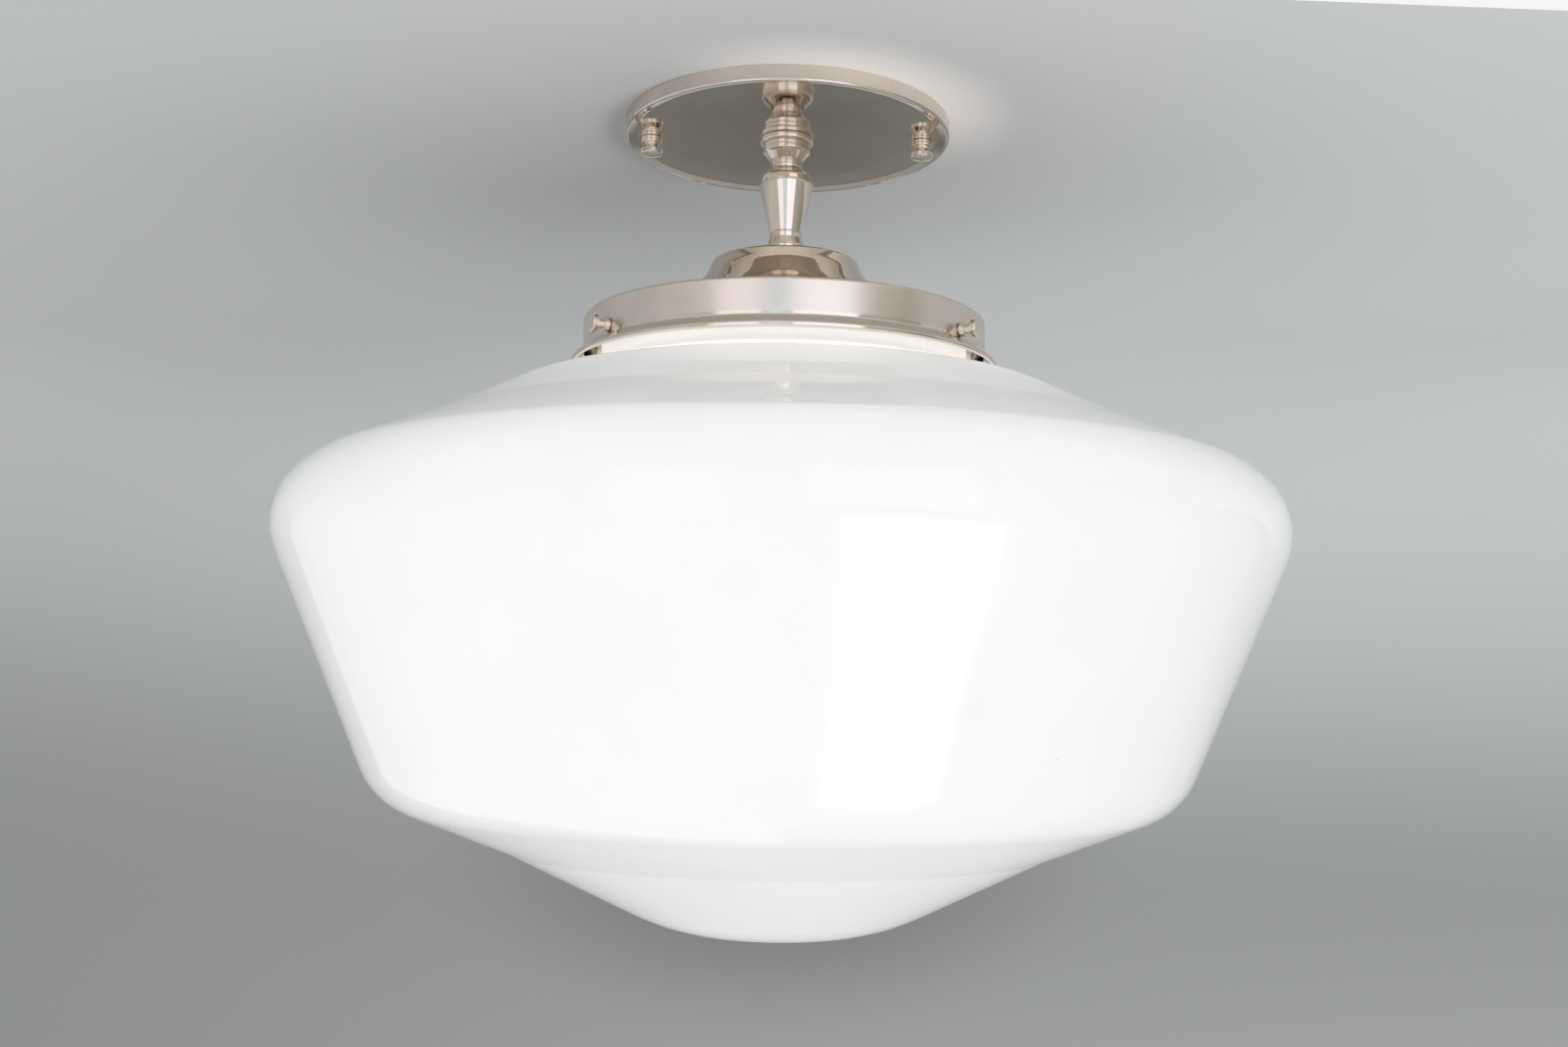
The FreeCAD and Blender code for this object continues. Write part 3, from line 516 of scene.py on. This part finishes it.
def make_shade_holder():
    """Fitter with a flat top, an upright skirt and a flared lip that ends in a rolled bead."""
    high, low = top("shade_holder"), foot("shade_holder")
    skirt = high - 13.4
    outside, inside, bead_outside, bead_inside = 77.2, 76.2, 81.9, 80.0
    holder = turned("shade_holder_spun", [
        (PIPE_HOLE, high), (outside, high, 1.4), (outside, skirt, 1.2), (79.9, low + 2.1, 0.5),
        (bead_outside, low + 2.2, 0.9), (bead_outside, low, 0.9), (bead_inside, low, 0.7),
        (bead_inside, low + 1.2, 0.3), (inside, skirt - 0.5, 1.6), (inside, high - WALL, 0.5),
        (PIPE_HOLE, high - WALL)], AROUND_WIDE)
    plate = nickel_plate("holder_nickel", satin=(77.0, 77.1, skirt + 0.9, skirt + 1.6))
    finish_piece(holder, plate, "fixture", "polished_nickel", "shade_holder")


def flute(piece, low, high, depth):
    """Press flutes into the upright faces between two levels, two faces in each four."""
    deselect()
    bpy.context.view_layer.objects.active = piece
    piece.select_set(True)
    edit_all()
    bpy.ops.mesh.select_all(action="DESELECT")
    bpy.ops.mesh.select_mode(type="FACE")
    leave_edit()
    band = [face for face in piece.data.polygons if low * MM < face.center.z < high * MM]
    faces = [face for face in band if abs(face.normal.z) < 0.1]
    faces.sort(key=lambda face: math.atan2(face.center.y, face.center.x))
    for number, face in enumerate(faces):
        face.select = number % 4 < 2
    bpy.ops.object.mode_set(mode="EDIT")
    bpy.ops.mesh.inset(thickness=FLUTE_EDGE * MM, depth=-depth * MM)
    bpy.ops.mesh.select_mode(type="VERT")
    leave_edit()
    bpy.ops.object.shade_smooth_by_angle(angle=math.radians(SMOOTH_FLUTES))


def make_canopy_nut(side):
    """Flange with a groove, neck and knurled head with a shallow pointed end."""
    low_corner, high_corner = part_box(f"canopy_nut_{side}")
    across = (low_corner.x + high_corner.x) / 2
    seat, end = top(f"canopy_nut_{side}"), foot(f"canopy_nut_{side}")
    flange = seat - 2.3
    neck = flange - 1.1
    bevel = neck - 1.2
    rim = bevel - 2.1
    bore, radius, neck_radius = 2.1, 4.2, 2.95
    bore_end = end + 1.4
    knurl_low, knurl_high, knurl_depth = rim + 0.3, bevel - 0.3, 0.22
    nut = turned(f"canopy_nut_{side}_turned", [
        (bore, seat), (radius, seat, 0.4), (radius, flange + 1.2, 0.15), (3.95, flange + 1.05),
        (radius, flange + 0.9, 0.15), (radius, flange, 0.35), (neck_radius, flange, 0.1),
        (neck_radius, neck, 0.1), (3.9, bevel, 0.1), (4.15, bevel - 0.25), (radius, knurl_high),
        (radius, knurl_low), (4.0, rim, 0.1), (0.0, end), (0.0, bore_end), (bore, bore_end)], AROUND_NUT)
    flute(nut, knurl_low, knurl_high, knurl_depth)
    place_mesh(nut, Matrix.Translation((across, 0, 0)))
    plate = nickel_plate(f"nut_nickel_{side}", centre=(across, 0, 0))
    finish_piece(nut, plate, f"{side}_nut", "polished_nickel", f"canopy_nut_{side}")


def make_thumb_screw(side, bearing):
    """Thumb screw that points in along its bearing, which starts at the back and goes against the clock."""
    out = Vector((-math.sin(bearing), math.cos(bearing), 0))
    low_corner, high_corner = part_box(f"thumb_screw_{side}")
    level = (low_corner.z + high_corner.z) / 2
    seat = 77.5
    tip, thread_start, pitch, turns = -7.2, -6.6, 0.794, 8
    thread_radius, root_radius, flange_radius, neck_radius, head_radius = 2.05, 1.75, 2.75, 1.75, 3.5
    flange_end, head_start, knurl_low, knurl_high, head_end, knurl_depth = 1.9, 4.7, 4.95, 6.65, 6.9, 0.2
    thread = []
    for turn in range(turns):
        start = thread_start + turn * pitch
        thread += [(thread_radius, start, 0.08), (root_radius, start + 0.4, 0.08)]
    screw = turned(f"thumb_screw_{side}_turned", [(0.0, tip), (1.55, tip, 0.1)] + thread + [
        (thread_radius, -0.25), (thread_radius, 0.0), (flange_radius, 0.0, 0.25),
        (flange_radius, 0.8, 0.15), (2.55, 0.95), (flange_radius, 1.1, 0.15),
        (flange_radius, flange_end, 0.3), (neck_radius, flange_end, 0.1), (neck_radius, head_start, 0.1),
        (3.3, head_start, 0.1), (head_radius, knurl_low), (head_radius, knurl_high),
        (3.25, head_end, 0.1), (0.0, head_end)], AROUND_SCREW)
    flute(screw, knurl_low, knurl_high, knurl_depth)
    lay = Matrix.Translation(out * seat * MM + Vector((0, 0, level)))
    lay = lay @ Vector((0, 0, 1)).rotation_difference(out).to_matrix().to_4x4()
    place_mesh(screw, lay)
    plate = nickel_plate(f"thumb_nickel_{side}", centre=lay.translation, turn=lay.to_euler())
    finish_piece(screw, plate, f"thumb_{side}", "polished_nickel", f"thumb_screw_{side}")


def make_glass_shade():
    """Blown schoolhouse shade, outside from lip to bowl and back up the inside of its wall."""
    mouth, base = top("glass_shade"), foot("glass_shade")
    neck = mouth - 18.7
    bowl = neck - 177.3
    wall = 3.0
    neck_outside, neck_inside = 70.0, 67.0
    outer = [
        (72.0, mouth, 1.2), (neck_outside, mouth - 6.3, 20), (neck_outside, neck, 4.0),
        (100.8, neck - 7.7, 50), (133.4, neck - 24.1, 50), (172.9, neck - 40.3, 20),
        (190.7, neck - 56.0, 25.6), (147.9, neck - 158.9, 27.5), (102.3, bowl, 40),
        (38.8, base, 80), (0.0, base)]
    inner = [
        (0.0, base + wall), (38.1, base + wall, 77), (101.0, bowl + wall, 43),
        (145.5, neck - 156.9, 24.5), (187.0, neck - 57.4, 22.6), (171.6, neck - 43.3, 17),
        (132.6, neck - 27.3, 53), (100.3, neck - 10.8, 47), (neck_inside, neck - 2.3, 7.0),
        (neck_inside, mouth - 6.0, 20), (69.0, mouth, 1.2)]
    glass = turned("glass_shade_blown", outer + inner, AROUND_GLASS)
    finish_piece(glass, OPAL, "shade", "opal_glass", "glass_shade")


# The room: a grey ceiling that sweeps down to a wall, both seen only from their front

def stage_material():
    """Matt paint with painted light: painted shade down the wall and to the left, a painted shadow round the
    light, and a painted glow beside the canopy.
    """
    material, recipe = new_material("stage_paint")
    spot = recipe.place()
    dabs = recipe.noise(spot, 90.0, 5.0, 0.6)
    drift = recipe.noise(spot, 1.5, 2.0, 0.5)
    x, y, level = recipe.parts(spot)
    paint = recipe.blend(recipe.mottled(drift), PAINT_DEEP, PAINT_PALE)
    # Painted shade: the board darkens from the ceiling down the wall, and lightens a little again lower down
    colour = recipe.blend(recipe.ease(level, 0.0, -0.5), paint, PAINTED_SHADE_MIDDLE)
    colour = recipe.blend(recipe.ease(level, -0.2, -1.1), colour, PAINTED_SHADE_LOW)
    # Painted shade towards the left, away from the lamp, below the ceiling
    painted_shade_to_left = recipe.ease(x, 0.2, -1.1) * recipe.ease(level, 0.1, -0.5)
    colour = recipe.blend(painted_shade_to_left, colour, PAINTED_SHADE_LEFT)
    # Painted shadow: a soft dark patch on the wall behind the glass shade, where its shadow falls
    lower = (level - PAINTED_SHADOW_LEVEL) * PAINTED_SHADOW_SQUASH
    shade = recipe.ease((x * x + lower * lower) ** 0.5, PAINTED_SHADOW_REACH, 0.0)
    colour = recipe.blend(shade, colour, PAINTED_SHADOW)
    # Painted glow: a pale patch on the board round the canopy, on its lamp side, as light thrown off the
    # canopy's side
    out = recipe.from_axis(spot)
    rim = recipe.ease(out, PAINTED_RIM_GLOW_OUTSIDE, PAINTED_RIM_GLOW_INSIDE)
    painted_glow = rim * recipe.ease((x * 0.7 - y * 0.7) / out, 0.0, 1.0)
    colour = recipe.blend(painted_glow * 0.7, colour, PAINTED_RIM_GLOW)
    shader = recipe.principled(base_color=colour, roughness=0.75, normal=recipe.bump(dabs, 0.2 * MM, 0.3))
    clear = recipe.node("ShaderNodeBsdfTransparent")
    behind = recipe.node("ShaderNodeNewGeometry", output="Backfacing")
    box_hole = recipe.span(out, BOX_HOLE, BOX_HOLE - BOX_HOLE_EDGE)
    recipe.finish(recipe.node("ShaderNodeMixShader", {}, {0: behind + box_hole, 1: shader, 2: clear}))
    return material


def make_stage():
    """Ceiling board with its near edge just over the light, curved down at the back to a wall."""
    deselect()
    bpy.ops.mesh.primitive_plane_add(size=2 * BOARD_HALF, location=(0, 0, CEILING_LEVEL))
    sweep = bpy.context.object
    sweep.name = sweep.data.name = "room_sweep"
    bpy.ops.object.transform_apply(location=True, rotation=False, scale=False)
    edit_all()
    bpy.ops.mesh.select_all(action="DESELECT")
    bpy.ops.mesh.select_mode(type="VERT")
    leave_edit()
    for vertex in sweep.data.vertices:
        vertex.select = vertex.co.y > 0
        vertex.co.y = BOARD_FLAT if vertex.co.y > 0 else BOARD_EDGE + BOARD_SLANT * vertex.co.x
    bpy.ops.object.mode_set(mode="EDIT")
    for step in range(BOARD_STEPS):
        first = math.pi / 2 * step / BOARD_STEPS
        last = math.pi / 2 * (step + 1) / BOARD_STEPS
        back = BOARD_CORNER * (math.sin(last) - math.sin(first))
        down = BOARD_CORNER * (math.cos(last) - math.cos(first))
        bpy.ops.mesh.extrude_region_move(TRANSFORM_OT_translate={"value": (0, back, down)})
    bpy.ops.mesh.extrude_region_move(TRANSFORM_OT_translate={"value": (0, 0, -BOARD_DROP)})
    select_mesh()
    bpy.ops.mesh.normals_make_consistent(inside=True)
    leave_edit()
    bpy.ops.object.shade_smooth()
    sweep.data.materials.append(stage_material())
    if sum(face.normal.z for face in sweep.data.polygons) > 0:
        sweep.data.flip_normals()
    return sweep


def make_room_light():
    """Soft light from all round, and the room that the nickel mirrors: window, screen, dim side and floor."""
    world = bpy.data.worlds.new("room")
    bpy.context.scene.world = world
    world.use_nodes = True
    recipe = Recipe(world.node_tree)
    x, y, up = recipe.parts(recipe.node("ShaderNodeTexCoord", output="Generated"))
    bearing = recipe.node("ShaderNodeMath", {"operation": "ARCTAN2"}, {0: x, 1: 0.0 - y}) * (180 / math.pi)

    def band(value, low, high, soft):
        """Share of 1 between two values, with soft ends."""
        return recipe.span(value, low - soft, low + soft) * recipe.span(value, high + soft, high - soft)

    room = recipe.blend(recipe.span(up, -0.5, -0.1), ROOM_FLOOR, ROOM_LEFT)
    room = recipe.blend(recipe.span(bearing, 30.0, 90.0), room, ROOM_RIGHT)
    room = recipe.blend(recipe.span(up, 0.3, 0.5), room, ROOM_ABOVE)
    for colour, bearings, bearing_soft, heights, height_soft in (
            (ROOM_SCREEN, (-38.0, -12.0), 3.0, (-0.5, 0.4), 0.05),
            (ROOM_WINDOW, (4.0, 41.0), 1.5, (-0.35, 0.45), 0.05),
            (ROOM_GLASS_EDGE, (-10.0, 3.0), 1.5, (-0.3, 0.4), 0.05),
            (ROOM_FLOOR_PATCH, (14.0, 52.0), 2.0, (-0.86, -0.5), 0.02)):
        patch = band(bearing, *bearings, bearing_soft) * band(up, *heights, height_soft)
        room = recipe.blend(patch, room, colour)
    soft = recipe.blend(recipe.span(x * x * 0.8 + y * 0.3 - up * 0.9, -0.9, 1.0), SOFT_LOW, SOFT_HIGH)
    soft = recipe.blend(recipe.ease(up, 0.05, 0.45) * recipe.ease(y, -0.1, -0.6), soft, SOFT_ABOVE)
    seen = recipe.node("ShaderNodeLightPath", output="Is Glossy Ray")
    light = recipe.blend(seen, soft, room)
    shown = recipe.node("ShaderNodeLightPath", output="Is Camera Ray")
    light = recipe.blend(shown, light, BACKDROP)
    recipe.finish(recipe.node("ShaderNodeBackground", {}, {"Color": light, "Strength": 1.0}), "World")


def light_board(board):
    """Broad lamp at the lower right that lights the board alone, past the light, which shades it."""
    deselect()
    bpy.ops.object.light_add(type="AREA", location=LAMP_PLACE)
    lamp = bpy.context.object
    lamp.name = "board_lamp"
    lamp.data.size = LAMP_SIZE
    lamp.data.energy = LAMP_WATTS
    lamp.rotation_euler = (Vector(LAMP_AIM) - Vector(LAMP_PLACE)).to_track_quat("-Z", "Y").to_euler()
    lit = bpy.data.collections.new("board")
    lit.objects.link(board)
    lamp.light_linking.receiver_collection = lit


def make_camera():
    """Camera of the photograph, below the ceiling and looking up a little."""
    pitch, heading, roll = (math.radians(angle) for angle in (CAMERA_PITCH, CAMERA_HEADING, CAMERA_ROLL))
    along = math.cos(pitch)
    ahead = Vector((math.sin(heading) * along, math.cos(heading) * along, math.sin(pitch)))
    level = Vector((math.cos(heading), -math.sin(heading), 0))
    upright = level.cross(ahead)
    right = level * math.cos(roll) + upright * math.sin(roll)
    over = upright * math.cos(roll) - level * math.sin(roll)
    deselect()
    bpy.ops.object.camera_add()
    camera = bpy.context.object
    camera.name = "photo_camera"
    camera.data.lens = CAMERA_LENS
    camera.data.sensor_width = FILM_WIDTH
    camera.data.clip_start = NEAREST_SEEN
    turn = Matrix((right, over, -ahead)).transposed()
    camera.matrix_world = Matrix.Translation((0, -CAMERA_DISTANCE, -CAMERA_DROP)) @ turn.to_4x4()
    bpy.context.scene.camera = camera


def finish_cad_nodes():
    """Materials of the CAD nodes that are shown as they are."""
    by_slot = {
        "polished_nickel": NICKEL,
        "opal_glass": OPAL,
        "zinc_steel": plain_finish("zinc_plate", tone(184, 184, 180), tone(170, 171, 170), METAL, 0.28),
        "green_screw": plain_finish("green_dye", tone(40, 112, 66), tone(30, 92, 54), 0.6, 0.35),
        "socket_metal": plain_finish("socket_plate", tone(196, 190, 182), tone(182, 176, 170), METAL, 0.22),
        "porcelain": plain_finish(
            "white_glaze", tone(236, 233, 226), tone(228, 224, 216), NOT_METAL, 0.12, depth=0.05),
        "socket_brass": plain_finish("stamped_brass", tone(206, 170, 98), tone(186, 146, 78), METAL, 0.22),
        "frosted_glass": plain_finish("frosted_bulb", tone(243, 243, 238), tone(236, 236, 232), NOT_METAL, 0.5),
        "bulb_aluminium": plain_finish("bulb_shell", tone(200, 200, 202), tone(186, 187, 190), METAL, 0.3),
        "black_insulator": plain_finish("black_glass", tone(24, 24, 26), tone(14, 14, 16), NOT_METAL, 0.15),
        "solder": plain_finish("dull_solder", tone(166, 166, 168), tone(148, 149, 152), METAL, 0.45)}
    for part in frame["record"]["subparts"]:
        mesh = frame["nodes"][part["node"]].data
        mesh.materials.clear()
        mesh.materials.append(by_slot[part["material_slot"]])


finish_cad_nodes()
make_canopy()
make_check_ring()
make_neck_collar()
make_column()
make_foot_ring()
make_dome_cap()
make_shade_holder()
for side in ("left", "right"):
    make_canopy_nut(side)
for side, degrees in (("left", 125), ("right", -125), ("back", 0)):
    make_thumb_screw(side, math.radians(degrees))
make_glass_shade()
light_board(make_stage())
make_room_light()
make_camera()
bpy.context.scene.view_settings.view_transform = "Standard"
